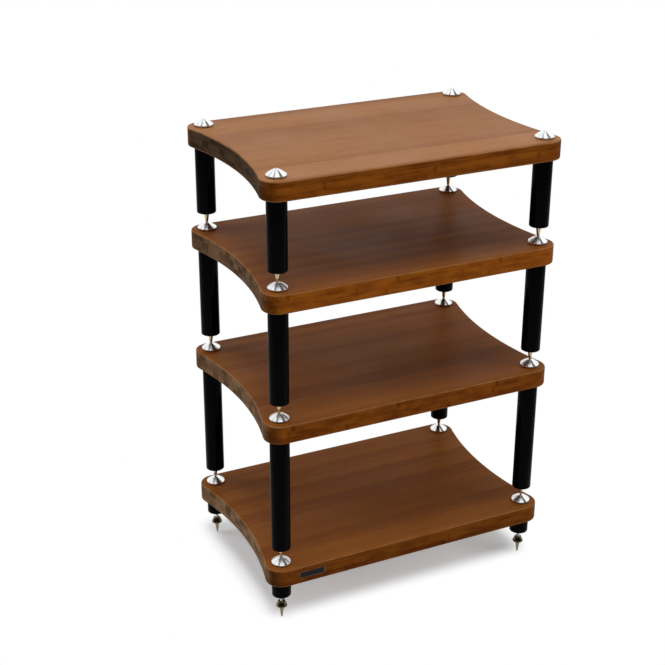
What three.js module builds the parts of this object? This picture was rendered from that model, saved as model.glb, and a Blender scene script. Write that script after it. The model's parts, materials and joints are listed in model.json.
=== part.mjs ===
import * as THREE from "three";

// An audio equipment rack of four stacking tiers. A tier is a bamboo shelf clamped between four chrome
// cups above and four black columns below, and the spikes under its columns stand in the cups of the
// tier beneath. The lowest tier has short columns, with floor spikes and conical collars.
// Millimetres: X is the width, Y the depth with the front at minus Y, and Z the height above the floor.

// Column grid, shared by shelves, columns, cups and spikes
const columnSpacingX = 524;
const columnSpacingY = 330;

// Shelves
const shelfThickness = 36;
const shelfCornerRadius = 30;
const shelfSideHollow = 21.5;
const shelfEdgeRound = 1.5;
const bayHeights = [264, 214, 164];

// Columns
const columnDiameter = 36.5;
const columnFootChamfer = 1.2;
const columnTopChamfer = 0.8;
const footColumnLength = 32.5;

// Threads, drawn as plain shanks in plain bores
const threadDiameter = 6;
const threadClearance = 0.4;
const threadEngagement = 8;
const boreEndClearance = 0.5;
const boreMouthChamfer = 0.6;
const shelfHoleClearance = 0.75;

// Cups: a chrome dome with a stud below and a dimple on top
const cupDiameter = 36;
const cupHeight = 12.5;
const cupBaseDiameter = 32;
const cupRimBottom = 2.5;
const cupRimTop = 4.5;
const cupFlankBulge = 0.5;
const cupCrownDiameter = 10;
const cupDimpleDiameter = 6.4;
const cupDimpleDepth = 1.8;
const cupSeatDiameter = 3.2;

// Spikes between the tiers
const spikeShoulderDiameter = 10.5;
const spikeExposedLength = 22.8;
const spikeNoseDiameter = 4.4;
const spikeNoseLength = 1.5;
const spikeTipDiameter = 2;
const spikeShankLength = 24;

// Floor spikes and their collars
const footConeLength = 25;
const footConeDiameter = 10;
const footTipDiameter = 2.5;
const footShankExposedLength = 15.5;
const footAdjustment = 12;
const collarHeight = 11;
const collarDiameter = 21;
const collarBandHeight = 2.5;
const collarTopDiameter = 13.5;
const collarTopChamfer = 0.7;

// Facets round each kind of turned piece, and along the shelf outline's arcs
const columnSides = 16;
const cupSides = 16;
const spikeSides = 12;
const collarSides = 18;
const outlineSteps = 5;

const cornerShares = [
  { name: "front_left", x: -0.5, y: -0.5 },
  { name: "front_right", x: 0.5, y: -0.5 },
  { name: "back_left", x: -0.5, y: 0.5 },
  { name: "back_right", x: 0.5, y: 0.5 },
];

const finishes = {
  bamboo: { color: 0x9c5f34, roughness: 0.42, metalness: 0 },
  blackSteel: { color: 0x08080a, roughness: 0.22, metalness: 0.1 },
  chrome: { color: 0xe6e8ea, roughness: 0.08, metalness: 1 },
  brass: { color: 0xb08d45, roughness: 0.25, metalness: 1 },
};

const boreRadius = threadDiameter / 2 + threadClearance;
const cupSeatHeight = cupHeight - cupDimpleDepth;
const columnStandoff = cupSeatHeight + spikeExposedLength;
const footExposedLength = footConeLength + collarHeight + footShankExposedLength;
const baseShelfLevel = footExposedLength + footColumnLength + shelfThickness;

function meshOf(name, geometry, finish) {
  const mesh = new THREE.Mesh(geometry, new THREE.MeshStandardMaterial(finishes[finish]));
  mesh.name = name;
  return mesh;
}

// Turns a profile of [radius, height] points about Z. The points run so that the solid lies to their left.
function turned(profile, sides) {
  const points = profile.map(([radius, height]) => new THREE.Vector2(radius, height));
  const geometry = new THREE.LatheGeometry(points, sides);
  geometry.rotateX(Math.PI / 2);
  return geometry;
}

// The front and back edges are straight. The left and right edges are hollow arcs, tangent to the
// corner arcs, which are centred on the columns.
function shelfGeometry() {
  const halfX = columnSpacingX / 2;
  const halfY = columnSpacingY / 2;
  const cornerOffset = shelfCornerRadius - shelfSideHollow;
  const hollowRadius = (halfY ** 2 + cornerOffset ** 2 - shelfCornerRadius ** 2) / (2 * shelfSideHollow);
  const hollowCentreX = halfX + cornerOffset + hollowRadius;
  const tangentAngle = Math.atan2(halfY, hollowCentreX - halfX);
  const rightAngle = Math.PI / 2;

  const outline = new THREE.Shape();
  outline.moveTo(-halfX, -halfY - shelfCornerRadius);
  outline.lineTo(halfX, -halfY - shelfCornerRadius);
  outline.absarc(halfX, -halfY, shelfCornerRadius, -rightAngle, tangentAngle, false);
  outline.absarc(hollowCentreX, 0, hollowRadius, Math.PI + tangentAngle, Math.PI - tangentAngle, true);
  outline.absarc(halfX, halfY, shelfCornerRadius, -tangentAngle, rightAngle, false);
  outline.lineTo(-halfX, halfY + shelfCornerRadius);
  outline.absarc(-halfX, halfY, shelfCornerRadius, rightAngle, Math.PI + tangentAngle, false);
  outline.absarc(-hollowCentreX, 0, hollowRadius, tangentAngle, -tangentAngle, true);
  outline.absarc(-halfX, -halfY, shelfCornerRadius, Math.PI - tangentAngle, Math.PI + rightAngle, false);

  for (const corner of cornerShares) {
    const hole = new THREE.Path();
    const holeRadius = threadDiameter / 2 + shelfHoleClearance;
    hole.absarc(corner.x * columnSpacingX, corner.y * columnSpacingY, holeRadius, 0, 2 * Math.PI, true);
    outline.holes.push(hole);
  }

  const geometry = new THREE.ExtrudeGeometry(outline, {
    depth: shelfThickness - 2 * shelfEdgeRound,
    bevelEnabled: true,
    bevelThickness: shelfEdgeRound,
    bevelSize: shelfEdgeRound,
    bevelOffset: -shelfEdgeRound,
    bevelSegments: 1,
    curveSegments: outlineSteps,
  });
  geometry.translate(0, 0, shelfEdgeRound - shelfThickness);
  return geometry;
}

// A column hangs from z = 0, with a threaded bore at each end.
function columnGeometry(length, lowerBoreDepth) {
  const outerRadius = columnDiameter / 2;
  const upperBoreDepth = threadEngagement + boreEndClearance;
  return turned(
    [
      [0, -length + lowerBoreDepth],
      [boreRadius, -length + lowerBoreDepth],
      [boreRadius, -length + boreMouthChamfer],
      [boreRadius + boreMouthChamfer, -length],
      [outerRadius - columnFootChamfer, -length],
      [outerRadius, -length + columnFootChamfer],
      [outerRadius, -columnTopChamfer],
      [outerRadius - columnTopChamfer, 0],
      [boreRadius, 0],
      [boreRadius, -upperBoreDepth],
      [0, -upperBoreDepth],
    ],
    columnSides,
  );
}

// A cup stands on z = 0, the shelf's top. Its stud passes through the shelf into the column below.
function cupGeometry() {
  const rimRadius = cupDiameter / 2;
  const crownRadius = cupCrownDiameter / 2;
  const studRadius = threadDiameter / 2;
  const studEnd = -shelfThickness - threadEngagement;
  const flank = new THREE.QuadraticBezierCurve(
    new THREE.Vector2(rimRadius, cupRimTop),
    new THREE.Vector2((rimRadius + crownRadius) / 2, (cupRimTop + cupHeight) / 2 + 2 * cupFlankBulge),
    new THREE.Vector2(crownRadius, cupHeight),
  );
  return turned(
    [
      [0, studEnd],
      [studRadius, studEnd],
      [studRadius, 0],
      [cupBaseDiameter / 2, 0],
      [rimRadius, cupRimBottom],
      ...flank.getPoints(2).map((point) => point.toArray()),
      [cupDimpleDiameter / 2, cupHeight],
      [cupSeatDiameter / 2, cupSeatHeight],
      [0, cupSeatHeight],
    ],
    cupSides,
  );
}

// A tier spike stands with its tip on z = 0, which is the floor of a cup's dimple.
function tierSpikeGeometry() {
  const shankRadius = threadDiameter / 2;
  return turned(
    [
      [0, 0],
      [spikeTipDiameter / 2, 0],
      [spikeNoseDiameter / 2, spikeNoseLength],
      [spikeShoulderDiameter / 2, spikeExposedLength],
      [shankRadius, spikeExposedLength],
      [shankRadius, spikeExposedLength + spikeShankLength],
      [0, spikeExposedLength + spikeShankLength],
    ],
    spikeSides,
  );
}

// A floor spike stands with its tip on z = 0, the floor. Its cone ends in the collar's seat.
function footSpikeGeometry() {
  const shankRadius = threadDiameter / 2;
  const shankEnd = footExposedLength + threadEngagement;
  return turned(
    [
      [0, 0],
      [footTipDiameter / 2, 0],
      [footConeDiameter / 2, footConeLength],
      [shankRadius, footConeLength],
      [shankRadius, shankEnd],
      [0, shankEnd],
    ],
    spikeSides,
  );
}

// A collar sits on z = 0, round the shank of its floor spike.
function collarGeometry() {
  const bandRadius = collarDiameter / 2;
  const topRadius = collarTopDiameter / 2;
  return turned(
    [
      [boreRadius, 0],
      [bandRadius, 0],
      [bandRadius, collarBandHeight],
      [topRadius, collarHeight - collarTopChamfer],
      [topRadius - collarTopChamfer, collarHeight],
      [boreRadius, collarHeight],
      [boreRadius, 0],
    ],
    collarSides,
  );
}

function placeAtCorner(mesh, corner, height) {
  mesh.position.set(corner.x * columnSpacingX, corner.y * columnSpacingY, height);
  return mesh;
}

// The parts that every tier has. Its group stands at the level of its shelf's top.
function tierGroup(name, level, columnName, columnLength, lowerBoreDepth) {
  const tier = new THREE.Group();
  tier.position.z = level;
  tier.add(meshOf(`${name}_shelf`, shelfGeometry(), "bamboo"));
  for (const corner of cornerShares) {
    const column = meshOf(`${columnName}_${corner.name}`, columnGeometry(columnLength, lowerBoreDepth), "blackSteel");
    tier.add(placeAtCorner(column, corner, -shelfThickness));
    tier.add(placeAtCorner(meshOf(`${name}_cup_${corner.name}`, cupGeometry(), "chrome"), corner, 0));
  }
  return tier;
}

function baseTier() {
  const lowerBoreDepth = threadEngagement + footAdjustment + boreEndClearance / 2;
  const tier = tierGroup("base", baseShelfLevel, "foot_column", footColumnLength, lowerBoreDepth);
  for (const corner of cornerShares) {
    const spike = meshOf(`foot_spike_${corner.name}`, footSpikeGeometry(), "brass");
    const collar = meshOf(`foot_collar_${corner.name}`, collarGeometry(), "brass");
    tier.add(placeAtCorner(spike, corner, -baseShelfLevel));
    tier.add(placeAtCorner(collar, corner, -baseShelfLevel + footConeLength));
  }
  return tier;
}

function upperTier(name, level, bayHeight) {
  const tier = tierGroup(
    name,
    level,
    `${name}_column`,
    bayHeight - columnStandoff,
    spikeShankLength + boreEndClearance,
  );
  for (const corner of cornerShares) {
    const spike = meshOf(`${name}_spike_${corner.name}`, tierSpikeGeometry(), "brass");
    tier.add(placeAtCorner(spike, corner, cupSeatHeight - shelfThickness - bayHeight));
  }
  return tier;
}

const rack = new THREE.Group();
rack.add(baseTier());
let level = baseShelfLevel;
["lower", "upper", "top"].forEach((name, index) => {
  level += bayHeights[index] + shelfThickness;
  rack.add(upperTier(name, level, bayHeights[index]));
});

export default rack;
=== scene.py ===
import json
import math

import bpy
from mathutils import Matrix, Vector


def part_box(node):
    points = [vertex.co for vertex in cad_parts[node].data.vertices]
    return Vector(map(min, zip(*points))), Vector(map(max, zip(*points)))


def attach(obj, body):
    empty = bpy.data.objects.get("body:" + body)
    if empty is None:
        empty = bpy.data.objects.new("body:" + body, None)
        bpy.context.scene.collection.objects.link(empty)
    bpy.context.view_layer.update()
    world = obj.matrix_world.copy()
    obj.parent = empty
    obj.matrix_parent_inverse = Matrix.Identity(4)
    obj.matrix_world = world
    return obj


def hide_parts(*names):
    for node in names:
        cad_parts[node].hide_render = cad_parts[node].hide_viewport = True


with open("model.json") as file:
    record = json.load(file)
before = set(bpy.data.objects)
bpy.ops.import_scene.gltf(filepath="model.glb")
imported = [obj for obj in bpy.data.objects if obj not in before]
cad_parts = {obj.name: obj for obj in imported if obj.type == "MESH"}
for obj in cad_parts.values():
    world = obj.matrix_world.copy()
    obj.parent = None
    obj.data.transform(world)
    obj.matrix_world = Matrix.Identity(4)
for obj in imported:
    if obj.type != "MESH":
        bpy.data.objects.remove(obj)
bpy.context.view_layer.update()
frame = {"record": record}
bpy.ops.object.select_all(action="DESELECT")

# Which body each CAD node moves with, and the four corners of the rack
bodyOf = {node: body for body, nodes in frame["record"]["behaviour"]["bodies"].items() for node in nodes}
corners = ("front_left", "front_right", "back_left", "back_right")
home = "front_left"  # what repeats is modelled at this corner and copied to the others


# Small helpers for modelling

samePoint = 0.000001  # points nearer than this are one


def axisOf(node):
    low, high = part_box(node)
    return (low + high) / 2


def atHome(node):
    # the box of a node at the home corner, and the point on its axis level with its foot
    low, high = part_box(f"{node}_{home}")
    return low, high, Vector(((low.x + high.x) / 2, (low.y + high.y) / 2, low.z))


def edit(piece, selectBy):
    bpy.ops.object.mode_set(mode="OBJECT")
    bpy.ops.object.select_all(action="DESELECT")
    piece.select_set(True)
    bpy.context.view_layer.objects.active = piece
    bpy.ops.object.mode_set(mode="EDIT")
    bpy.ops.mesh.select_mode(type=selectBy)
    bpy.ops.mesh.select_all(action="DESELECT")


def selectWhere(piece, part, wanted):
    # part is vertices, edges or polygons; the flags can only be written outside edit mode
    bpy.ops.mesh.select_all(action="DESELECT")
    bpy.ops.object.mode_set(mode="OBJECT")
    for item in getattr(piece.data, part):
        item.select = wanted(item)
    bpy.ops.object.mode_set(mode="EDIT")


def finishMesh(smoothAngle):
    # for the active object, which is in edit mode
    bpy.ops.mesh.select_all(action="SELECT")
    bpy.ops.mesh.remove_doubles(threshold=samePoint)
    bpy.ops.mesh.normals_make_consistent(inside=False)
    bpy.ops.object.mode_set(mode="OBJECT")
    bpy.ops.object.transform_apply(location=True, rotation=True, scale=True)
    bpy.ops.object.shade_smooth_by_angle(angle=math.radians(smoothAngle))


def applyModifier(piece, kind, **settings):
    modifier = piece.modifiers.new(kind.lower(), kind)
    for name, value in settings.items():
        setattr(modifier, name, value)
    bpy.ops.object.modifier_apply(modifier=modifier.name)


def turnPiece(name, place, sides, rings, through=False, smoothAngle=32):
    # rings of (radius, height) above place, from the bottom outside to the last one inside
    radius, height = rings[0]
    bpy.ops.mesh.primitive_circle_add(
        vertices=sides,
        radius=radius,
        fill_type="NOTHING" if through else "NGON",
        location=place + Vector((0, 0, height)),
    )
    piece = bpy.context.active_object
    piece.name = name
    bpy.ops.object.mode_set(mode="EDIT")
    bpy.ops.mesh.select_mode(type="VERT")
    bpy.ops.mesh.select_all(action="SELECT")
    for nextRadius, nextHeight in rings[1:]:
        bpy.ops.mesh.extrude_region_move(TRANSFORM_OT_translate={"value": (0, 0, nextHeight - height)})
        share = nextRadius / radius
        level = place + Vector((0, 0, nextHeight))
        bpy.ops.transform.resize(value=(share, share, 1), center_override=level)
        radius, height = nextRadius, nextHeight
    finishMesh(smoothAngle)
    return piece


def roundedCorner(centreRadius, centreHeight, size, startAngle, steps):
    # a quarter round in the section, as rings, turning anticlockwise from startAngle
    rings = []
    for step in range(steps + 1):
        angle = math.radians(startAngle + 90 * step / steps)
        rings.append((centreRadius + size * math.cos(angle), centreHeight + size * math.sin(angle)))
    return rings


def copyPiece(piece, name, shift):
    bpy.ops.object.select_all(action="DESELECT")
    piece.select_set(True)
    bpy.context.view_layer.objects.active = piece
    bpy.ops.object.duplicate(linked=False)
    twin = bpy.context.active_object
    twin.name = name
    bpy.ops.transform.translate(value=shift)
    bpy.ops.object.transform_apply(location=True, rotation=True, scale=True)
    return twin


def settle(piece, node, material):
    piece.data.materials.clear()
    piece.data.materials.append(material)
    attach(piece, bodyOf[node])
    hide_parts(node)


def atEveryCorner(piece, node, finish, material):
    # the piece stands at the home corner for node_front_left; its twins go to the other three
    homeNode = f"{node}_{home}"
    twins = {home: piece}
    for corner in corners[1:]:
        shift = axisOf(f"{node}_{corner}") - axisOf(homeNode)
        twins[corner] = copyPiece(piece, f"{finish}_{node}_{corner}", shift)
    for corner, twin in twins.items():
        settle(twin, f"{node}_{corner}", material)


# Small helpers for materials

def startMaterial(name, fixed):
    material = bpy.data.materials.new(name)
    material.use_nodes = True
    shader = material.node_tree.nodes["Principled BSDF"]
    for socket, value in fixed.items():
        shader.inputs[socket].default_value = value
    return material, material.node_tree, shader


def feed(tree, socket, value):
    if isinstance(value, bpy.types.NodeSocket):
        tree.links.new(value, socket)
    else:
        socket.default_value = value


def calc(tree, operation, *values):
    node = tree.nodes.new("ShaderNodeMath")
    node.operation = operation
    for socket, value in zip(node.inputs, values):
        feed(tree, socket, value)
    return node.outputs[0]


def fade(tree, value, start, end, first=0.0, last=1.0):
    # first below start, last above end, and smooth between them
    node = tree.nodes.new("ShaderNodeMapRange")
    node.interpolation_type = "SMOOTHSTEP"
    for socket, number in zip(node.inputs, (value, start, end, first, last)):
        feed(tree, socket, number)
    return node.outputs[0]


def around(tree, value, gain):
    # a value that varies about a half, as a share above or below zero
    return calc(tree, "MULTIPLY", calc(tree, "SUBTRACT", value, 0.5), gain)


def partsOf(tree, vector):
    node = tree.nodes.new("ShaderNodeSeparateXYZ")
    tree.links.new(vector, node.inputs[0])
    return node.outputs


def lengthOf(tree, parts):
    squares = [calc(tree, "MULTIPLY", part, part) for part in parts]
    return calc(tree, "SQRT", calc(tree, "ADD", *squares))


def rounding(tree, levelness):
    # only on rounded edges, where a face is neither level nor upright
    return calc(tree, "MULTIPLY", levelness, calc(tree, "SUBTRACT", 1.0, levelness))


def greyOf(tree, value):
    node = tree.nodes.new("ShaderNodeCombineColor")
    for channel in node.inputs[:3]:
        feed(tree, channel, value)
    return node.outputs[0]


def mixColour(tree, share, first, second, mode="MIX"):
    node = tree.nodes.new("ShaderNodeMix")
    node.data_type = "RGBA"
    node.blend_type = mode
    feed(tree, node.inputs[0], share)
    feed(tree, node.inputs[6], first)
    feed(tree, node.inputs[7], second)
    return node.outputs[2]


def mixValue(tree, share, first, second):
    node = tree.nodes.new("ShaderNodeMix")
    feed(tree, node.inputs[0], share)
    feed(tree, node.inputs[2], first)
    feed(tree, node.inputs[3], second)
    return node.outputs[0]


def dimmed(tree, colour, value):
    return mixColour(tree, 1.0, colour, greyOf(tree, value), "MULTIPLY")


def noise(tree, vector, stretch, detail=2.0, roughness=0.5):
    # stretch is how many waves lie in a metre along X, Y and Z
    mapping = tree.nodes.new("ShaderNodeMapping")
    mapping.inputs["Scale"].default_value = stretch
    feed(tree, mapping.inputs["Vector"], vector)
    node = tree.nodes.new("ShaderNodeTexNoise")
    feed(tree, node.inputs["Vector"], mapping.outputs[0])
    node.inputs["Scale"].default_value = 1.0
    node.inputs["Detail"].default_value = detail
    node.inputs["Roughness"].default_value = roughness
    return node.outputs[0]


def addBump(tree, shader, height, distance):
    node = tree.nodes.new("ShaderNodeBump")
    node.inputs["Strength"].default_value = 1.0
    node.inputs["Distance"].default_value = distance
    feed(tree, node.inputs["Height"], height)
    tree.links.new(node.outputs[0], shader.inputs["Normal"])


# Bamboo board: strips glued up in three layers, cut across at the hollow sides

bamboo = {
    "stripWidth": 0.020,
    "layerHeight": 0.0122,
    "planedOff": 0.0003,  # what is missing of the top layer
    "layerShift": 0.6,  # how far a layer's strips are shifted at most, in strip widths
    "slide": 0.37,  # how much further along the boards the next shelf is cut
    "slideSeed": 7,
    "wander": 0.0016,  # how far the grain strays from side to side
    "seam": 0.0004,
    "knotSpacing": 0.21,
    "knotHalo": (0.0012, 0.0060),
    "knotLine": (0.0002, 0.0007),
    "knotBow": 0.01,
    # colours
    "lightTone": (0.335, 0.142, 0.034, 1),
    "darkTone": (0.172, 0.060, 0.013, 1),
    "reddish": (0.230, 0.074, 0.015, 1),
    "knotTone": (0.080, 0.025, 0.005, 1),
    "seamTone": (0.100, 0.034, 0.008, 1),
    "uprightShade": (1.08, 0.72, 0.25, 1),  # painted shade: upright faces darker and redder than the level ones, for the light and sheen they miss
    "endLight": (0.310, 0.180, 0.096, 1),
    "endDark": (0.110, 0.056, 0.026, 1),
    # lighter on the rounded edges: partly wear, partly a painted highlight
    "rubbedAndLitTone": (0.42, 0.20, 0.075, 1),
    # how strongly the patterns show
    "stripContrast": 0.75,
    "fibreContrast": 1.5,
    "figureContrast": 2.4,
    "brickContrast": 1.6,
    "knotShare": (0.1, 0.5),  # the least, and what chance adds to it
    "knotLineShare": 0.3,
    "seamShare": 0.7,
    "endSeamShare": 0.5,
    "quietTop": 0.40,  # how much of the pattern is lost on the level faces
    "quietKnots": 0.85,
    # fades: where they start and end, and the values there
    "reddening": (0.45, 0.75, 0.0, 0.25),
    "fibreShade": (0.25, 0.75, 0.86, 1.14),
    "speckle": (0.35, 0.7, 0.80, 1.2),
    "rubbingAndSheen": (0.35, 0.65, 1.6, 3.2),
    # painted shade: upright faces grow darker as they turn sideways, round the corners
    "paintedCornerShade": (0.2, 0.85, 1.0, 0.50),
    "endsBetween": (0.155, 0.160, 1.0, 0.0),  # the cut ends show on the hollow sides, up to the corners
    "endsFacing": (0.45, 0.88),
    "endsAtCorner": (0.85, 1.0, 0.0, 0.55),
    "satin": (0.3, 0.7, 0.34, 0.46),
    "fibreRoughness": 0.08,
    "endRoughness": 0.72,
    "seamDepth": 0.8,  # a seam's share of the relief
    "relief": 0.00005,
    "shine": {"Specular IOR Level": 0.04},
}

# noise in the bamboo: waves in a metre along X, Y and Z, then detail and roughness; the fine and the coarse
# one are fibres, streaks along the board that read as dots on the cut ends
bambooNoise = {
    "wander": ((2.0, 9.0, 9.0), 1.0),
    "fine": ((14.0, 1500.0, 1500.0), 2.0, 0.6),
    "coarse": ((10.0, 230.0, 260.0), 3.0, 0.65),
    "figure": ((26.0, 45.0, 80.0), 3.0),
    "reddening": ((2.5, 7.0, 30.0), 2.0),
    "rubbingAndSheen": ((35.0, 35.0, 90.0), 2.0),
    "handling": ((7.0, 7.0, 7.0), 3.0),
}

# painted light and shade for each shelf: how light its fronts and its cut ends are, and a tint on its level
# faces that paints shade on the lower shelves and a white sheen on the top one
tierShading = {
    "base": {"front": 0.86, "ends": 1.25, "level": (1.06, 0.84, 0.56, 1)},
    "lower": {"front": 1.10, "ends": 0.98, "level": (0.98, 0.77, 0.54, 1)},
    "upper": {"front": 1.32, "ends": 0.74, "level": (0.94, 0.73, 0.52, 1)},
    "top": {"front": 1.06, "ends": 0.31, "level": (1.18, 1.28, 2.15, 1)},
}


def bambooMaterial(tier, topHeight, slide):
    # slide moves the pattern along the boards, so that no two shelves are cut from the same place
    material, tree, shader = startMaterial(f"bamboo_{tier}", bamboo["shine"])
    coordinates = tree.nodes.new("ShaderNodeTexCoord")
    placed = tree.nodes.new("ShaderNodeMapping")
    placed.inputs["Location"].default_value = (slide, 0, -topHeight - bamboo["planedOff"])
    tree.links.new(coordinates.outputs["Object"], placed.inputs["Vector"])
    board = placed.outputs[0]
    pattern = {name: noise(tree, board, *values) for name, values in bambooNoise.items()}

    facing = partsOf(tree, coordinates.outputs["Normal"])
    sideways = calc(tree, "ABSOLUTE", facing[0])
    levelness = calc(tree, "ABSOLUTE", facing[2])
    lively = calc(tree, "SUBTRACT", 1.0, calc(tree, "MULTIPLY", levelness, bamboo["quietTop"]))
    knotty = calc(tree, "SUBTRACT", 1.0, calc(tree, "MULTIPLY", levelness, bamboo["quietKnots"]))

    # number of the layer and of the strip in it, and random values for each strip
    along, straight, down = partsOf(tree, board)
    across = calc(tree, "MULTIPLY_ADD", pattern["wander"], bamboo["wander"], straight)
    layerPlace = calc(tree, "DIVIDE", down, bamboo["layerHeight"])
    layer = calc(tree, "FLOOR", layerPlace)
    layerChance = tree.nodes.new("ShaderNodeTexWhiteNoise")
    layerChance.noise_dimensions = "1D"
    tree.links.new(calc(tree, "ADD", layer, bamboo["slideSeed"] * slide), layerChance.inputs["W"])
    shift = calc(tree, "MULTIPLY", layerChance.outputs["Value"], bamboo["layerShift"])
    stripPlace = calc(tree, "ADD", calc(tree, "DIVIDE", across, bamboo["stripWidth"]), shift)
    cell = tree.nodes.new("ShaderNodeCombineXYZ")
    tree.links.new(calc(tree, "FLOOR", stripPlace), cell.inputs[0])
    tree.links.new(layer, cell.inputs[1])
    cell.inputs[2].default_value = slide
    stripChance = tree.nodes.new("ShaderNodeTexWhiteNoise")
    tree.links.new(cell.outputs[0], stripChance.inputs["Vector"])
    chances = tree.nodes.new("ShaderNodeSeparateColor")
    tree.links.new(stripChance.outputs["Color"], chances.inputs[0])
    knotChance, toneChance, smokeChance = chances.outputs

    # glue lines between strips and between layers
    stripEdge = calc(tree, "PINGPONG", calc(tree, "FRACT", stripPlace), 0.5)
    layerEdge = calc(tree, "PINGPONG", calc(tree, "FRACT", layerPlace), 0.5)
    nearest = calc(
        tree,
        "MINIMUM",
        calc(tree, "MULTIPLY", stripEdge, bamboo["stripWidth"]),
        calc(tree, "MULTIPLY", layerEdge, bamboo["layerHeight"]),
    )
    seams = fade(tree, nearest, 0.0, bamboo["seam"], 1.0, 0.0)

    # knots: a soft dark bar across the strip, with a thin line in it
    knotPlace = calc(tree, "ADD", calc(tree, "DIVIDE", along, bamboo["knotSpacing"]), knotChance)
    bowed = calc(tree, "MULTIPLY_ADD", stripEdge, bamboo["knotBow"], knotPlace)
    knotGap = calc(tree, "MULTIPLY", calc(tree, "PINGPONG", bowed, 0.5), bamboo["knotSpacing"])
    halo = fade(tree, knotGap, *bamboo["knotHalo"], 1.0, 0.0)
    line = fade(tree, knotGap, *bamboo["knotLine"], 1.0, 0.0)

    # along the grain: strips of different tone, streaked with fibres
    tone = calc(
        tree,
        "ADD",
        around(tree, toneChance, bamboo["stripContrast"]),
        around(tree, pattern["coarse"], bamboo["fibreContrast"]),
    )
    figure = calc(tree, "MULTIPLY", around(tree, pattern["figure"], bamboo["figureContrast"]), knotty)
    tone = calc(tree, "MULTIPLY_ADD", calc(tree, "ADD", tone, figure), lively, 0.5)
    grain = mixColour(tree, tone, bamboo["darkTone"], bamboo["lightTone"])
    reddening = fade(tree, pattern["reddening"], *bamboo["reddening"])
    grain = mixColour(tree, reddening, grain, bamboo["reddish"])
    grain = dimmed(tree, grain, fade(tree, pattern["fine"], *bamboo["fibreShade"]))
    least, more = bamboo["knotShare"]
    smoke = calc(tree, "MULTIPLY", halo, calc(tree, "MULTIPLY_ADD", smokeChance, more, least))
    grain = mixColour(tree, calc(tree, "MULTIPLY", smoke, knotty), grain, bamboo["knotTone"])
    drawn = calc(tree, "MULTIPLY", line, calc(tree, "MULTIPLY", knotty, bamboo["knotLineShare"]))
    grain = mixColour(tree, drawn, grain, bamboo["knotTone"])
    glued = calc(tree, "MULTIPLY", seams, calc(tree, "MULTIPLY", knotty, bamboo["seamShare"]))
    grain = mixColour(tree, glued, grain, bamboo["seamTone"])

    # cut ends: each strip shows as a brick of its own tone, speckled with fibre ends
    brick = calc(tree, "ADD", toneChance, around(tree, pattern["coarse"], bamboo["brickContrast"]))
    ends = mixColour(tree, brick, bamboo["endDark"], bamboo["endLight"])
    ends = dimmed(tree, ends, fade(tree, pattern["fine"], *bamboo["speckle"]))
    ends = mixColour(tree, calc(tree, "MULTIPLY", seams, bamboo["endSeamShare"]), ends, bamboo["endDark"])

    # the shelf's painted light and shade, and which faces show cut ends
    shelfShading = tierShading[tier]
    # painted shade on the upright faces
    front = dimmed(tree, bamboo["uprightShade"], shelfShading["front"])
    # painted shade, darker round the corners
    front = dimmed(tree, front, fade(tree, sideways, *bamboo["paintedCornerShade"]))
    grain = mixColour(tree, 1.0, grain, mixColour(tree, levelness, front, shelfShading["level"]), "MULTIPLY")
    ends = dimmed(tree, ends, shelfShading["ends"])
    depth = calc(tree, "ABSOLUTE", partsOf(tree, coordinates.outputs["Object"])[1])
    betweenCorners = fade(tree, depth, *bamboo["endsBetween"])
    atCorner = fade(tree, sideways, *bamboo["endsAtCorner"])
    cutAcross = mixValue(tree, betweenCorners, atCorner, fade(tree, sideways, *bamboo["endsFacing"]))
    colour = mixColour(tree, cutAcross, grain, ends)

    # the rounded edges are painted lighter in patches: partly lacquer rubbed thin, partly a painted highlight
    rubbingAndSheen = fade(tree, pattern["rubbingAndSheen"], *bamboo["rubbingAndSheen"])
    rubbedAndLit = calc(tree, "MULTIPLY", rounding(tree, levelness), rubbingAndSheen)
    colour = mixColour(tree, rubbedAndLit, colour, bamboo["rubbedAndLitTone"])
    tree.links.new(colour, shader.inputs["Base Color"])

    handled = fade(tree, pattern["handling"], *bamboo["satin"])
    satin = calc(tree, "MULTIPLY_ADD", pattern["fine"], bamboo["fibreRoughness"], handled)
    roughness = mixValue(tree, cutAcross, satin, bamboo["endRoughness"])
    tree.links.new(roughness, shader.inputs["Roughness"])
    sunk = calc(tree, "MULTIPLY", seams, bamboo["seamDepth"])
    addBump(tree, shader, calc(tree, "SUBTRACT", pattern["fine"], sunk), bamboo["relief"])
    return material


# Gloss black lacquer of the columns

blackLacquer = {
    "deep": (0.0005, 0.0005, 0.0007, 1),
    "bloomed": (0.0016, 0.0016, 0.0020, 1),
    "worn": (0.014, 0.014, 0.016, 1),
    "bloomNoise": ((22.0, 22.0, 9.0), 3.0),
    "bloom": (0.4, 0.7),
    "scuffNoise": ((260.0, 260.0, 500.0), 3.0),
    "scuffs": (0.52, 0.68),
    "smearNoise": ((30.0, 30.0, 60.0), 4.0, 0.6),
    "roughness": (0.35, 0.75, 0.04, 0.12),
    "peelNoise": ((420.0, 420.0, 420.0), 1.0),
    "relief": 0.00001,
    "shine": {"Specular IOR Level": 0.03, "Metallic": 0.0},
}


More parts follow.
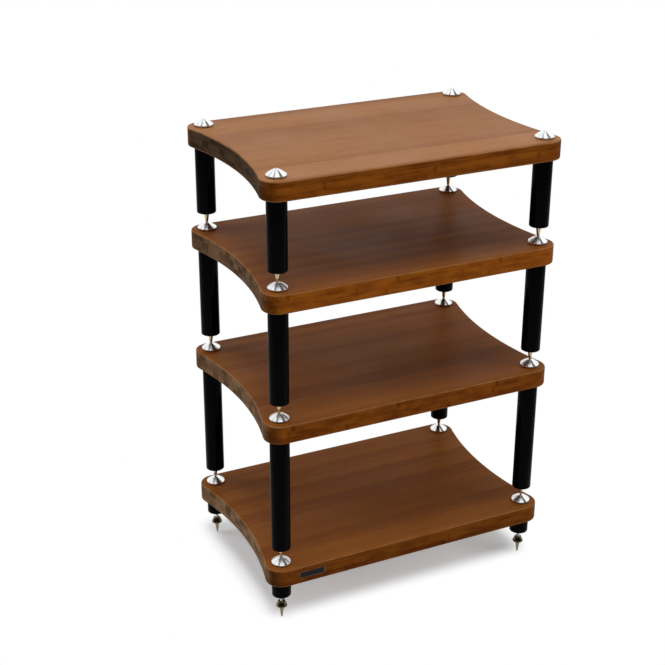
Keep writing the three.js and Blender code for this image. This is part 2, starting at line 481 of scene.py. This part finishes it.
def lacquerMaterial():
    material, tree, shader = startMaterial("gloss_black", blackLacquer["shine"])
    coordinates = tree.nodes.new("ShaderNodeTexCoord")
    place = coordinates.outputs["Object"]
    bloom = fade(tree, noise(tree, place, *blackLacquer["bloomNoise"]), *blackLacquer["bloom"])
    colour = mixColour(tree, bloom, blackLacquer["deep"], blackLacquer["bloomed"])
    # wear on the rounded foot and the top edge
    levelness = calc(tree, "ABSOLUTE", partsOf(tree, coordinates.outputs["Normal"])[2])
    scuffs = fade(tree, noise(tree, place, *blackLacquer["scuffNoise"]), *blackLacquer["scuffs"])
    worn = calc(tree, "MULTIPLY", rounding(tree, levelness), scuffs)
    colour = mixColour(tree, worn, colour, blackLacquer["worn"])
    tree.links.new(colour, shader.inputs["Base Color"])
    smears = noise(tree, place, *blackLacquer["smearNoise"])
    tree.links.new(fade(tree, smears, *blackLacquer["roughness"]), shader.inputs["Roughness"])
    addBump(tree, shader, noise(tree, place, *blackLacquer["peelNoise"]), blackLacquer["relief"])
    return material


# Metals: turned on a lathe, so fine rings run round each corner's axis and spread the reflections up and down

brassTurning = {"rings": 2200.0, "relief": 0.000002, "shine": {"Metallic": 1.0, "Anisotropic": 0.3}}

metals = {
    # cups, and the floor spikes' threads
    "chrome": {
        "clean": (0.93, 0.935, 0.94, 1),
        "dull": (0.74, 0.75, 0.77, 1),
        "roughness": (0.26, 0.34),
        "rings": 2600.0,
        "relief": 0.000001,
        "shine": {"Metallic": 1.0, "Anisotropic": 0.95},
    },
    # spikes between the tiers
    "brass": {
        "clean": (0.60, 0.47, 0.26, 1),
        "dull": (0.24, 0.17, 0.07, 1),
        "roughness": (0.08, 0.17),
        **brassTurning,
    },
    # floor spikes
    "old_brass": {
        "clean": (0.34, 0.28, 0.17, 1),
        "dull": (0.15, 0.11, 0.05, 1),
        "roughness": (0.08, 0.17),
        **brassTurning,
    },
    # collars
    "bronze": {
        "clean": (0.15, 0.12, 0.065, 1),
        "dull": (0.05, 0.04, 0.02, 1),
        "roughness": (0.10, 0.20),
        **brassTurning,
    },
    # the badge plate's rim
    "nickel": {
        "clean": (0.30, 0.29, 0.31, 1),
        "dull": (0.16, 0.15, 0.16, 1),
        "roughness": (0.20, 0.32),
        "rings": 2600.0,
        "relief": 0.000001,
        "shine": {"Metallic": 1.0, "Anisotropic": 0.0},
    },
}

metalWear = {
    "tarnishNoise": ((90.0, 90.0, 140.0), 4.0, 0.65),
    "tarnish": (0.5, 0.8),
    "smearNoise": ((55.0, 55.0, 55.0), 3.0),
    "smears": (0.3, 0.75),
}


def metalMaterial(name):
    values = metals[name]
    material, tree, shader = startMaterial(name, values["shine"])
    coordinates = tree.nodes.new("ShaderNodeTexCoord")
    place = coordinates.outputs["Object"]
    placeX, placeY, height = partsOf(tree, place)
    # the corners mirror each other, so one corner's axis gives how far a point is from its own
    axis = axisOf(f"base_cup_{home}")
    away = []
    for part, distance in ((placeX, abs(axis.x)), (placeY, abs(axis.y))):
        beyond = calc(tree, "SUBTRACT", calc(tree, "ABSOLUTE", part), distance)
        away.append(calc(tree, "MULTIPLY", beyond, calc(tree, "SIGN", part)))
    outward = tree.nodes.new("ShaderNodeCombineXYZ")
    for part, socket in zip(away, outward.inputs):
        tree.links.new(part, socket)
    inWorld = tree.nodes.new("ShaderNodeVectorTransform")
    inWorld.vector_type = "VECTOR"
    inWorld.convert_from = "OBJECT"
    inWorld.convert_to = "WORLD"
    tree.links.new(outward.outputs[0], inWorld.inputs[0])
    tree.links.new(inWorld.outputs[0], shader.inputs["Tangent"])

    travel = calc(tree, "ADD", lengthOf(tree, away), height)
    rings = calc(tree, "SINE", calc(tree, "MULTIPLY", travel, values["rings"] * 2 * math.pi))
    tarnish = fade(tree, noise(tree, place, *metalWear["tarnishNoise"]), *metalWear["tarnish"])
    tree.links.new(mixColour(tree, tarnish, values["clean"], values["dull"]), shader.inputs["Base Color"])
    smears = noise(tree, place, *metalWear["smearNoise"])
    roughness = fade(tree, smears, *metalWear["smears"], *values["roughness"])
    tree.links.new(roughness, shader.inputs["Roughness"])
    addBump(tree, shader, rings, values["relief"])
    return material


# The badge's bare field, black with fine brushing along it

badgeField = {
    "dark": (0.008, 0.006, 0.005, 1),
    "light": (0.020, 0.015, 0.013, 1),
    "brushNoise": ((60.0, 60.0, 5000.0), 2.0),
    "brushing": (0.3, 0.7),
    "roughness": (0.22, 0.36),
    "relief": 0.00001,
    "shine": {"Metallic": 0.0, "Specular IOR Level": 0.15},
}


def fieldMaterial():
    material, tree, shader = startMaterial("badge_field", badgeField["shine"])
    coordinates = tree.nodes.new("ShaderNodeTexCoord")
    brushed = noise(tree, coordinates.outputs["Object"], *badgeField["brushNoise"])
    share = fade(tree, brushed, *badgeField["brushing"])
    colour = mixColour(tree, share, badgeField["dark"], badgeField["light"])
    tree.links.new(colour, shader.inputs["Base Color"])
    roughness = fade(tree, brushed, *badgeField["brushing"], *badgeField["roughness"])
    tree.links.new(roughness, shader.inputs["Roughness"])
    addBump(tree, shader, brushed, badgeField["relief"])
    return material


lacquer = lacquerMaterial()
metalFinish = {name: metalMaterial(name) for name in metals}
fieldFinish = fieldMaterial()
print("finishes made")


# Shelves

shelf = {
    "cornerRadius": 0.030,
    "sideHollow": 0.0215,
    "edgeRound": 0.0028,
    "edgeSteps": 5,
    "cornerSteps": 20,
    "hollowSteps": 28,
    "holeRadius": 0.00375,
    "holeSides": 24,
    "holeMargin": 0.004,
    "mirrorMerge": 0.00001,
    "sharpFrom": 1.2,  # edges that turn further than this, in radians, are rounded
    "holeSmooth": 30,
    "smoothAngle": 40,
}


def shelfPiece(node, name):
    low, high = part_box(node)
    hole = axisOf(f"base_cup_{home}")
    cornerX, cornerY = high.x - shelf["cornerRadius"], high.y - shelf["cornerRadius"]
    offset = shelf["cornerRadius"] - shelf["sideHollow"]
    hollowRadius = (cornerY ** 2 + offset ** 2 - shelf["cornerRadius"] ** 2) / (2 * shelf["sideHollow"])
    hollowX = cornerX + offset + hollowRadius
    turn = math.atan2(cornerY, hollowX - cornerX)

    # bolt holes, drilled through the finished board
    bpy.ops.mesh.primitive_circle_add(
        vertices=shelf["holeSides"], radius=shelf["holeRadius"], fill_type="NGON", location=(0, 0, 0)
    )
    drill = bpy.context.active_object
    edit(drill, "FACE")
    bpy.ops.mesh.select_all(action="SELECT")
    bpy.ops.transform.translate(value=(hole.x, hole.y, low.z - shelf["holeMargin"]))
    bpy.ops.mesh.extrude_region_move(
        TRANSFORM_OT_translate={"value": (0, 0, high.z - low.z + 2 * shelf["holeMargin"])}
    )
    finishMesh(shelf["holeSmooth"])
    applyModifier(drill, "MIRROR", use_axis=(True, True, False))

    # one point at the middle of the front edge, drawn out along the outline to the middle of the right side
    bpy.ops.mesh.primitive_plane_add(size=cornerX, location=(0, 0, low.z))
    piece = bpy.context.active_object
    piece.name = name
    edit(piece, "VERT")
    bpy.ops.mesh.select_all(action="SELECT")
    bpy.ops.mesh.merge(type="CENTER")
    bpy.ops.transform.translate(value=(0, low.y, 0))
    bpy.ops.mesh.extrude_region_move(TRANSFORM_OT_translate={"value": (cornerX, 0, 0)})
    bpy.ops.mesh.spin(
        steps=shelf["cornerSteps"],
        angle=-math.pi / 2 - turn,
        center=(cornerX, -cornerY, low.z),
        axis=(0, 0, 1),
    )
    bpy.ops.mesh.spin(steps=shelf["hollowSteps"], angle=turn, center=(hollowX, 0, low.z), axis=(0, 0, 1))
    bpy.ops.object.mode_set(mode="OBJECT")
    applyModifier(piece, "MIRROR", use_axis=(True, True, False), merge_threshold=shelf["mirrorMerge"])

    # the face inside the outline, drawn up to the board's thickness, with rounded edges
    edit(piece, "EDGE")
    bpy.ops.mesh.select_all(action="SELECT")
    bpy.ops.mesh.edge_face_add()
    bpy.ops.mesh.select_all(action="SELECT")
    bpy.ops.mesh.extrude_region_move(TRANSFORM_OT_translate={"value": (0, 0, high.z - low.z)})
    finishMesh(shelf["smoothAngle"])
    applyModifier(
        piece,
        "BEVEL",
        width=shelf["edgeRound"],
        segments=shelf["edgeSteps"],
        limit_method="ANGLE",
        angle_limit=shelf["sharpFrom"],
    )
    applyModifier(piece, "BOOLEAN", operation="DIFFERENCE", solver="EXACT", object=drill)
    edit(piece, "FACE")
    finishMesh(shelf["smoothAngle"])
    bpy.data.objects.remove(drill)
    return piece


badge = {
    "centreX": -0.212,
    "length": 0.050,
    "height": 0.012,
    "pocketDepth": 0.0014,
    "play": 0.0001,
    "frameWidth": 0.0003,
    "fieldDepth": 0.0002,
    "cornerRound": 0.0012,
    "cornerSteps": 5,
    "edgeRound": 0.00008,
    "edgeSteps": 2,
    "sharpFrom": 0.9,
    "smoothAngle": 30,
    "facingFront": -0.999,  # a front face's normal is beyond this
    "near": 0.0001,
}


def pocketSides():
    low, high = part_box("base_shelf")
    centreX, centreZ = badge["centreX"], (low.z + high.z) / 2
    halfLength = badge["length"] / 2 + badge["play"]
    halfHeight = badge["height"] / 2 + badge["play"]
    return centreX - halfLength, centreX + halfLength, centreZ - halfHeight, centreZ + halfHeight


def facesFront(face):
    return face.normal.y < badge["facingFront"]


def cutPocket(piece):
    left, right, bottom, top = pocketSides()
    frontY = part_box("base_shelf")[0].y
    near = badge["near"]
    cuts = [
        ((left, 0, 0), (1, 0, 0)),
        ((right, 0, 0), (1, 0, 0)),
        ((0, 0, bottom), (0, 0, 1)),
        ((0, 0, top), (0, 0, 1)),
    ]

    # the two upright cuts go through the whole front, and the level ones only through the strip between them
    def onFront(face):
        between = left - near < face.center.x < right + near
        return facesFront(face) and abs(face.center.y - frontY) < near and (between or len(cuts) > 2)

    edit(piece, "FACE")
    while cuts:
        selectWhere(piece, "polygons", onFront)
        place, direction = cuts.pop(0)
        bpy.ops.mesh.bisect(plane_co=place, plane_no=direction)
    selectWhere(piece, "polygons", lambda face: onFront(face) and bottom < face.center.z < top)
    bpy.ops.mesh.extrude_region_move(TRANSFORM_OT_translate={"value": (0, badge["pocketDepth"], 0)})
    finishMesh(shelf["smoothAngle"])


def badgePiece():
    bottom, top = pocketSides()[2:]
    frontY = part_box("base_shelf")[0].y
    thickness = badge["pocketDepth"]
    bpy.ops.mesh.primitive_cube_add(
        size=1,
        location=(badge["centreX"], frontY + thickness / 2, (bottom + top) / 2),
        scale=(badge["length"], thickness, badge["height"]),
    )
    piece = bpy.context.active_object
    piece.name = "badge_plate"
    bpy.ops.object.transform_apply(location=True, rotation=True, scale=True)
    edit(piece, "EDGE")

    def deepEdge(edge):
        first, second = (piece.data.vertices[number].co for number in edge.vertices)
        return abs(first.y - second.y) > thickness / 2

    selectWhere(piece, "edges", deepEdge)
    bpy.ops.mesh.bevel(offset=badge["cornerRound"], segments=badge["cornerSteps"])
    bpy.ops.mesh.select_mode(type="FACE")
    selectWhere(piece, "polygons", facesFront)
    bpy.ops.mesh.inset(thickness=badge["frameWidth"])
    bpy.ops.mesh.extrude_region_move(TRANSFORM_OT_translate={"value": (0, badge["fieldDepth"], 0)})
    finishMesh(badge["smoothAngle"])
    applyModifier(
        piece,
        "BEVEL",
        width=badge["edgeRound"],
        segments=badge["edgeSteps"],
        limit_method="ANGLE",
        angle_limit=badge["sharpFrom"],
    )
    piece.data.materials.append(metalFinish["nickel"])
    piece.data.materials.append(fieldFinish)
    for face in piece.data.polygons:
        inField = facesFront(face) and face.center.y > frontY + badge["fieldDepth"] / 2
        face.material_index = 1 if inField else 0
    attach(piece, bodyOf["base_shelf"])
    return piece


shelves = {}
firstShelf = shelfPiece("base_shelf", "bamboo_base_shelf")
for number, tier in enumerate(("base", "lower", "upper", "top")):
    node = f"{tier}_shelf"
    low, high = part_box(node)
    if number == 0:
        shelves[tier] = firstShelf
    else:
        rise = low.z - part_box("base_shelf")[0].z
        shelves[tier] = copyPiece(firstShelf, f"bamboo_{node}", (0, 0, rise))
    finish = bambooMaterial(tier, high.z, bamboo["slide"] * number)
    settle(shelves[tier], node, finish)
cutPocket(shelves["base"])
badgePiece()
for board in shelves.values():
    # the large flat faces keep their own normals, and the rounded edges turn between them
    edit(board, "FACE")
    bpy.ops.object.mode_set(mode="OBJECT")
    applyModifier(board, "WEIGHTED_NORMAL", keep_sharp=True, weight=100)
print("shelves and badge made")


# Columns

column = {
    "sides": 80,
    "footRound": 0.0018,
    "footSteps": 6,
    "topRound": 0.0008,
    "topSteps": 3,
    "boreRadius": 0.0034,
    "boreMouth": 0.0006,
    "boreDepth": 0.0245,
    "footBoreDepth": 0.02025,
    "upperBoreDepth": 0.0085,
}


def columnPiece(node, boreDepth):
    low, high, place = atHome(node)
    outer = (high.x - low.x) / 2
    length = high.z - low.z
    foot, crown, bore = column["footRound"], column["topRound"], column["boreRadius"]
    rings = [(bore, boreDepth), (bore, column["boreMouth"]), (bore + column["boreMouth"], 0)]
    rings += roundedCorner(outer - foot, foot, foot, -90, column["footSteps"])
    rings += roundedCorner(outer - crown, length - crown, crown, 0, column["topSteps"])
    rings += [(bore, length), (bore, length - column["upperBoreDepth"])]
    return turnPiece(f"black_{node}_{home}", place, column["sides"], rings)


for node in ("foot_column", "lower_column", "upper_column", "top_column"):
    depth = column["footBoreDepth"] if node == "foot_column" else column["boreDepth"]
    atEveryCorner(columnPiece(node, depth), node, "black", lacquer)
print("columns made")


# Cups: a chrome dome that clamps the shelf, with a dimple for the spike above and a stud below

cup = {
    "sides": 96,
    "baseRadius": 0.0160,
    "baseRound": 0.0003,
    "rimBottom": 0.0025,
    "rimTop": 0.0045,
    "rimStart": -75,  # degrees round the rim's section
    "rimSweep": 130,
    "rimSteps": 6,
    "crownRadius": 0.0050,
    "crownRound": 0.0003,
    "flankBulge": 0.0005,
    "flankSteps": 10,
    "dimpleRadius": 0.0032,
    "dimpleDepth": 0.0018,
    "seatRadius": 0.0016,
    "studRadius": 0.0030,
    "studChamfer": 0.0006,
}


def cupPiece(node):
    low, high, place = atHome(node)
    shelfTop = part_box(node.replace("cup", "shelf"))[1].z
    place.z = shelfTop
    rim = (high.x - low.x) / 2
    studEnd = low.z - shelfTop
    height = high.z - shelfTop
    foot, stud, crown, edge = cup["baseRadius"], cup["studRadius"], cup["crownRadius"], cup["crownRound"]
    rings = [(stud - cup["studChamfer"], studEnd), (stud, studEnd + cup["studChamfer"]), (stud, 0)]
    rings += [(foot - cup["baseRound"], 0), (foot, cup["baseRound"])]
    # the rim is a half round, drawn in towards the shelf below and running into the flank above
    rimHalf = (cup["rimTop"] - cup["rimBottom"]) / 2
    for step in range(cup["rimSteps"] + 1):
        angle = math.radians(cup["rimStart"] + cup["rimSweep"] * step / cup["rimSteps"])
        radius = rim - rimHalf + rimHalf * math.cos(angle)
        rings.append((radius, cup["rimBottom"] + rimHalf + rimHalf * math.sin(angle)))
    start, end = Vector(rings[-1]), Vector((crown + edge, height - edge))
    middle = (start + end) / 2 + Vector((0, 2 * cup["flankBulge"]))
    for step in range(1, cup["flankSteps"] + 1):
        share = step / cup["flankSteps"]
        point = start * (1 - share) ** 2 + middle * 2 * share * (1 - share) + end * share ** 2
        rings.append(tuple(point))
    rings += [(crown, height), (cup["dimpleRadius"] + edge, height), (cup["dimpleRadius"], height - edge)]
    rings.append((cup["seatRadius"], height - cup["dimpleDepth"]))
    return turnPiece(f"chrome_{node}_{home}", place, cup["sides"], rings)


for node in ("base_cup", "lower_cup", "upper_cup", "top_cup"):
    atEveryCorner(cupPiece(node), node, "chrome", metalFinish["chrome"])
print("cups made")


# Spikes between the tiers

spike = {
    "sides": 48,
    "tipRadius": 0.0010,
    "tipRound": 0.0003,
    "noseRadius": 0.0022,
    "noseLength": 0.0015,
    "shoulderRadius": 0.00525,
    "exposed": 0.0228,
    "shoulderRound": 0.0003,
    "shankRadius": 0.0030,
}


def spikePiece(node):
    low, high, place = atHome(node)
    shoulder, bevel, top = spike["shoulderRadius"], spike["shoulderRound"], spike["exposed"]
    rings = [
        (spike["tipRadius"] - spike["tipRound"], 0),
        (spike["tipRadius"], spike["tipRound"]),
        (spike["noseRadius"] - bevel / 2, spike["noseLength"] - bevel),
        (spike["noseRadius"] + bevel / 4, spike["noseLength"] + bevel),
        (shoulder - bevel / 8, top - bevel),
        (shoulder - bevel / 2, top),
        (spike["shankRadius"], top),
        (spike["shankRadius"], high.z - low.z - bevel),
        (spike["shankRadius"] - bevel, high.z - low.z),
    ]
    return turnPiece(f"brass_{node}_{home}", place, spike["sides"], rings)


for node in ("lower_spike", "upper_spike", "top_spike"):
    atEveryCorner(spikePiece(node), node, "brass", metalFinish["brass"])
print("tier spikes made")


# Floor spikes: a cone on a threaded shank

footSpike = {
    "sides": 64,
    "tipRadius": 0.00125,
    "tipRound": 0.0003,
    "coneRadius": 0.0050,
    "coneLength": 0.025,
    "seatPlay": 0.00005,  # left under the collar, so that the two faces never share a plane
    "coneRound": 0.0004,
    "rootRadius": 0.00245,
    "crestRadius": 0.0030,
    "pitch": 0.001,
    "flankShare": 0.4,  # of the pitch, for each flank of the thread
    "landShare": 0.1,  # and for its crest and its root
    "threadSteps": 28,
    "sunkTurns": 2,  # inside the cone
    "spareTurns": 3,  # cut off at the ends
    "threadSmooth": 50,
}


def threadPiece(place, bottom, top):
    # one turn's section, wound up the shank and cut level at both ends
    pitch, root, crest = footSpike["pitch"], footSpike["rootRadius"], footSpike["crestRadius"]
    halfStep = pitch / footSpike["threadSteps"] / 2  # keeps the mesh's corners off the planes of the cuts
    start = place + Vector((0, 0, bottom - pitch - halfStep))
    bpy.ops.mesh.primitive_plane_add(size=pitch, location=start)
    piece = bpy.context.active_object
    edit(piece, "VERT")
    bpy.ops.mesh.select_all(action="SELECT")
    bpy.ops.mesh.merge(type="CENTER")
    bpy.ops.transform.translate(value=(root, 0, 0))
    flank, land = footSpike["flankShare"] * pitch, footSpike["landShare"] * pitch
    for move in ((crest - root, 0, flank), (0, 0, land), (root - crest, 0, flank), (0, 0, land)):
        bpy.ops.mesh.extrude_region_move(TRANSFORM_OT_translate={"value": move})
    bpy.ops.object.mode_set(mode="OBJECT")
    applyModifier(
        piece,
        "SCREW",
        angle=2 * math.pi,
        screw_offset=pitch,
        iterations=math.ceil((top - bottom) / pitch) + footSpike["spareTurns"],
        steps=footSpike["threadSteps"],
        render_steps=footSpike["threadSteps"],
    )
    edit(piece, "FACE")
    bpy.ops.mesh.select_all(action="SELECT")
    bpy.ops.mesh.remove_doubles(threshold=samePoint)
    for height, direction in ((bottom, (0, 0, -1)), (top, (0, 0, 1))):
        bpy.ops.mesh.select_all(action="SELECT")
        bpy.ops.mesh.bisect(
            plane_co=place + Vector((0, 0, height)),
            plane_no=direction,
            use_fill=True,
            clear_outer=True,
            threshold=samePoint,
        )
    finishMesh(footSpike["threadSmooth"])
    return piece


def footSpikePiece(node):
    low, high, place = atHome(node)
    bevel, cone = footSpike["coneRound"], footSpike["coneRadius"]
    length = footSpike["coneLength"] - footSpike["seatPlay"]
    rings = [
        (footSpike["tipRadius"] - footSpike["tipRound"], 0),
        (footSpike["tipRadius"], footSpike["tipRound"]),
        (cone - bevel / 4, length - bevel),
        (cone - bevel, length),
    ]
    piece = turnPiece(f"brass_{node}_{home}", place, footSpike["sides"], rings)
    thread = threadPiece(place, length - footSpike["sunkTurns"] * footSpike["pitch"], high.z - low.z)
    bpy.ops.object.select_all(action="DESELECT")
    thread.select_set(True)
    piece.select_set(True)
    bpy.context.view_layer.objects.active = piece
    bpy.ops.object.join()
    return piece


def plateThread(piece):
    # the thread that shows above the cone is bright steel
    piece.data.materials.append(metalFinish["chrome"])
    coneTop = footSpike["coneLength"] - footSpike["seatPlay"] / 2
    for face in piece.data.polygons:
        face.material_index = 1 if face.center.z > coneTop else 0


atEveryCorner(footSpikePiece("foot_spike"), "foot_spike", "brass", metalFinish["old_brass"])
for corner in corners:
    plateThread(bpy.data.objects[f"brass_foot_spike_{corner}"])
print("floor spikes made")


# Collars: a cone with a knurled grip round its foot

collar = {
    "sides": 120,
    "bandHeight": 0.0025,
    "bandRound": 0.0003,
    "footDraw": 0.0006,  # how far the edge under the band is drawn in
    "flankDraw": 0.00045,  # and the one above it, where the cone starts
    "topRadius": 0.00675,
    "topRound": 0.0007,
    "topSteps": 3,
    "boreRadius": 0.0034,
    "knurlDepth": 0.00035,
    "flankSteps": 4,
    "smoothAngle": 22,
}


def collarPiece(node):
    low, high, place = atHome(node)
    band = (high.x - low.x) / 2
    height = high.z - low.z
    edge, bore, bandTop = collar["bandRound"], collar["boreRadius"], collar["bandHeight"]
    top, crown = collar["topRadius"], collar["topRound"]
    rings = [(bore, 0), (band - collar["footDraw"], 0), (band, edge), (band, bandTop - edge)]
    flankFoot, flankTop = band - collar["flankDraw"], height - crown
    for step in range(collar["flankSteps"] + 1):
        share = step / collar["flankSteps"]
        rings.append((flankFoot + (top - flankFoot) * share, bandTop + (flankTop - bandTop) * share))
    rings += roundedCorner(top - crown, height - crown, crown, 0, collar["topSteps"])[1:]
    rings += [(bore, height), (bore, 0)]
    name = f"brass_{node}_{home}"
    piece = turnPiece(name, place, collar["sides"], rings, through=True, smoothAngle=collar["smoothAngle"])

    # every other upright edge of the band is drawn in, which leaves the teeth of the knurl
    def inGroove(vertex):
        away = vertex.co - place
        onBand = math.hypot(away.x, away.y) > band - edge / 2
        turn = round(math.atan2(away.y, away.x) / (2 * math.pi) * collar["sides"])
        return onBand and turn % 2 == 0

    edit(piece, "VERT")
    selectWhere(piece, "vertices", inGroove)
    share = 1 - collar["knurlDepth"] / band
    bpy.ops.transform.resize(value=(share, share, 1), center_override=place)
    finishMesh(collar["smoothAngle"])
    return piece


atEveryCorner(collarPiece("foot_collar"), "foot_collar", "brass", metalFinish["bronze"])
print("collars made")


# Studio: pale floor, white surroundings, soft light from above and weaker light from both sides

studio = {
    "white": (1.0, 1.0, 1.0, 1),
    "black": (0.0, 0.0, 0.0, 1),
    "floorSize": 30.0,
    "floorShader": {"Roughness": 0.9, "Specular IOR Level": 0.0},
    "floorColour": 0.50,
    "floorShine": 0.40,  # its glow in metal
    # as the camera sees it, a little blue, so that the boards' brown light leaves the shadow a plain grey
    "floorSeen": (0.965, 0.99, 1.0, 1),
    "floorGlow": (0.34, 0.19),  # under the middle of the rack, and under its ends, where the lower glow paints the shadow darker
    "glowEnds": (0.13, 0.27),
    # the floor keeps the rack's shadow in a rectangle of this middle and half size, and past it the shadow
    # fades to plain white
    "shadeMiddle": (0.0, 0.026),
    "shadeHalf": (0.250, 0.158),
    "shadeFade": 0.055,
    "ambient": (0.60, 0.14),  # light from behind the rack, and from the side of the camera
    "cameraSide": (-0.40, -0.84, 0.36),
    "dark": 0.03,  # the darker surroundings on the camera's side as metal shows them, below the screens
    "darkTurn": (-0.1, 0.3),
    "darkRise": (0.50, 0.70),
    "screens": 1.35,
    # dark gaps between the white screens overhead: the turn about the cup at which each one shows in it and
    # its half width, both in degrees, and its strength
    "gaps": {
        "right": (29, 13, 0.95),
        "middle": (-13, 8, 0.75),
        "left": (-46, 9, 0.5),
        "far right": (82, 12, 0.7),
    },
    "gapCore": 0.4,  # the share of the half width that is dark all over
    "gapRise": (0.42, 0.60),
    "overhead": {"place": (-0.2, -0.5, 3.5), "size": 1.7, "power": 50.0, "aim": (0, 0, 0.5)},
    "right": {"place": (2.2, -1.8, 1.9), "size": 1.6, "power": 16.0, "aim": (0, 0, 0.45)},
    "left": {"place": (-2.3, 1.5, 2.1), "size": 1.8, "power": 28.0, "aim": (0, 0, 0.4)},
}


def addFloor():
    bpy.ops.mesh.primitive_plane_add(size=studio["floorSize"], location=(0, 0, 0))
    floor = bpy.context.active_object
    floor.name = "studio_floor"
    material, tree, shader = startMaterial("studio_floor", studio["floorShader"])
    path = tree.nodes.new("ShaderNodeLightPath")
    seen = calc(tree, "MAXIMUM", path.outputs["Is Camera Ray"], path.outputs["Is Transmission Ray"])
    coordinates = tree.nodes.new("ShaderNodeTexCoord")
    place = partsOf(tree, coordinates.outputs["Object"])
    beyond = []
    for part, middle, half in zip(place[:2], studio["shadeMiddle"], studio["shadeHalf"]):
        away = calc(tree, "ABSOLUTE", calc(tree, "SUBTRACT", part, middle))
        beyond.append(calc(tree, "MAXIMUM", calc(tree, "SUBTRACT", away, half), 0.0))
    outside = calc(tree, "MULTIPLY", seen, fade(tree, lengthOf(tree, beyond), 0.0, studio["shadeFade"]))
    colour = mixColour(tree, seen, greyOf(tree, studio["floorColour"]), studio["floorSeen"])
    colour = mixColour(tree, outside, colour, studio["black"])
    tree.links.new(colour, shader.inputs["Base Color"])
    # to the camera the floor glows, a little in the shadow and white outside it
    aside = calc(tree, "ABSOLUTE", place[0])
    underRack = fade(tree, aside, *studio["glowEnds"], *studio["floorGlow"])
    shine = calc(tree, "MULTIPLY", path.outputs["Is Glossy Ray"], studio["floorShine"])
    glow = mixValue(tree, outside, mixValue(tree, seen, shine, underRack), 1.0)
    tree.links.new(glow, shader.inputs["Emission Strength"])
    shader.inputs["Emission Color"].default_value = studio["white"]
    floor.data.materials.append(material)


def towards(tree, direction, place):
    node = tree.nodes.new("ShaderNodeVectorMath")
    node.operation = "DOT_PRODUCT"
    tree.links.new(direction, node.inputs[0])
    node.inputs[1].default_value = Vector(place).normalized()
    return node.outputs["Value"]


def addWorld():
    world = bpy.data.worlds.new("studio")
    bpy.context.scene.world = world
    world.use_nodes = True
    tree = world.node_tree
    background = tree.nodes["Background"]
    path = tree.nodes.new("ShaderNodeLightPath")
    coordinates = tree.nodes.new("ShaderNodeTexCoord")
    direction = coordinates.outputs["Generated"]
    # metal shows the white surroundings, dark ones on the camera's side and dark gaps between the screens
    cameraSide = towards(tree, direction, studio["cameraSide"])
    flat = Vector(studio["cameraSide"]).normalized().xy
    forward = towards(tree, direction, (flat.x, flat.y, 0))
    aside = towards(tree, direction, (-flat.y, flat.x, 0))
    turn = calc(tree, "ARCTAN2", aside, calc(tree, "ADD", forward, flat.length))
    high = towards(tree, direction, (0, 0, 1))
    below = fade(tree, high, *studio["darkRise"], 1.0, 0.0)
    darkSide = calc(tree, "MULTIPLY", fade(tree, forward, *studio["darkTurn"]), below)
    inMetal = mixValue(tree, darkSide, 1.0, studio["dark"])
    risen = fade(tree, high, *studio["gapRise"])
    inMetal = calc(tree, "MULTIPLY", inMetal, mixValue(tree, risen, 1.0, studio["screens"]))
    for centre, halfWidth, strength in studio["gaps"].values():
        off = calc(tree, "ABSOLUTE", calc(tree, "SUBTRACT", turn, math.radians(centre)))
        edge = math.radians(halfWidth)
        gap = calc(tree, "MULTIPLY", fade(tree, off, edge * studio["gapCore"], edge, strength, 0.0), risen)
        inMetal = calc(tree, "MULTIPLY", inMetal, calc(tree, "SUBTRACT", 1.0, gap))
    behind, front = studio["ambient"]
    ambient = fade(tree, cameraSide, -1.0, 1.0, behind, front)
    glossy = calc(tree, "MAXIMUM", path.outputs["Is Glossy Ray"], path.outputs["Is Transmission Ray"])
    level = mixValue(tree, glossy, ambient, inMetal)
    level = mixValue(tree, path.outputs["Is Camera Ray"], level, 1.0)
    tree.links.new(level, background.inputs["Strength"])
    background.inputs["Color"].default_value = studio["white"]


def addLamp(name):
    values = studio[name]
    bpy.ops.object.light_add(type="AREA", location=values["place"])
    lamp = bpy.context.active_object
    lamp.name = f"lamp_{name}"
    lamp.data.energy = values["power"]
    lamp.data.size = values["size"]
    gaze = Vector(values["aim"]) - Vector(values["place"])
    lamp.rotation_euler = gaze.to_track_quat("-Z", "Y").to_euler()
    lamp.visible_glossy = False


addFloor()
addWorld()
addLamp("overhead")
addLamp("right")
addLamp("left")
print("studio made")


# Camera, where the photograph was taken from

camera = {
    "place": (-1.1546, -2.2165, 1.5957),
    "yaw": 25.910,
    "pitch": 24.242,
    "roll": 0.249,
    "focalLength": 77.03,
    "sensor": 36.0,
}

bpy.ops.object.camera_add(location=camera["place"])
eye = bpy.context.active_object
eye.name = "camera"
eye.data.lens = camera["focalLength"]
eye.data.sensor_width = camera["sensor"]
yaw = Matrix.Rotation(math.radians(-camera["yaw"]), 4, "Z")
pitch = Matrix.Rotation(math.radians(90 - camera["pitch"]), 4, "X")
roll = Matrix.Rotation(math.radians(camera["roll"]), 4, "Z")
eye.rotation_euler = (yaw @ pitch @ roll).to_euler()
bpy.context.scene.camera = eye
bpy.context.scene.view_settings.view_transform = "Standard"
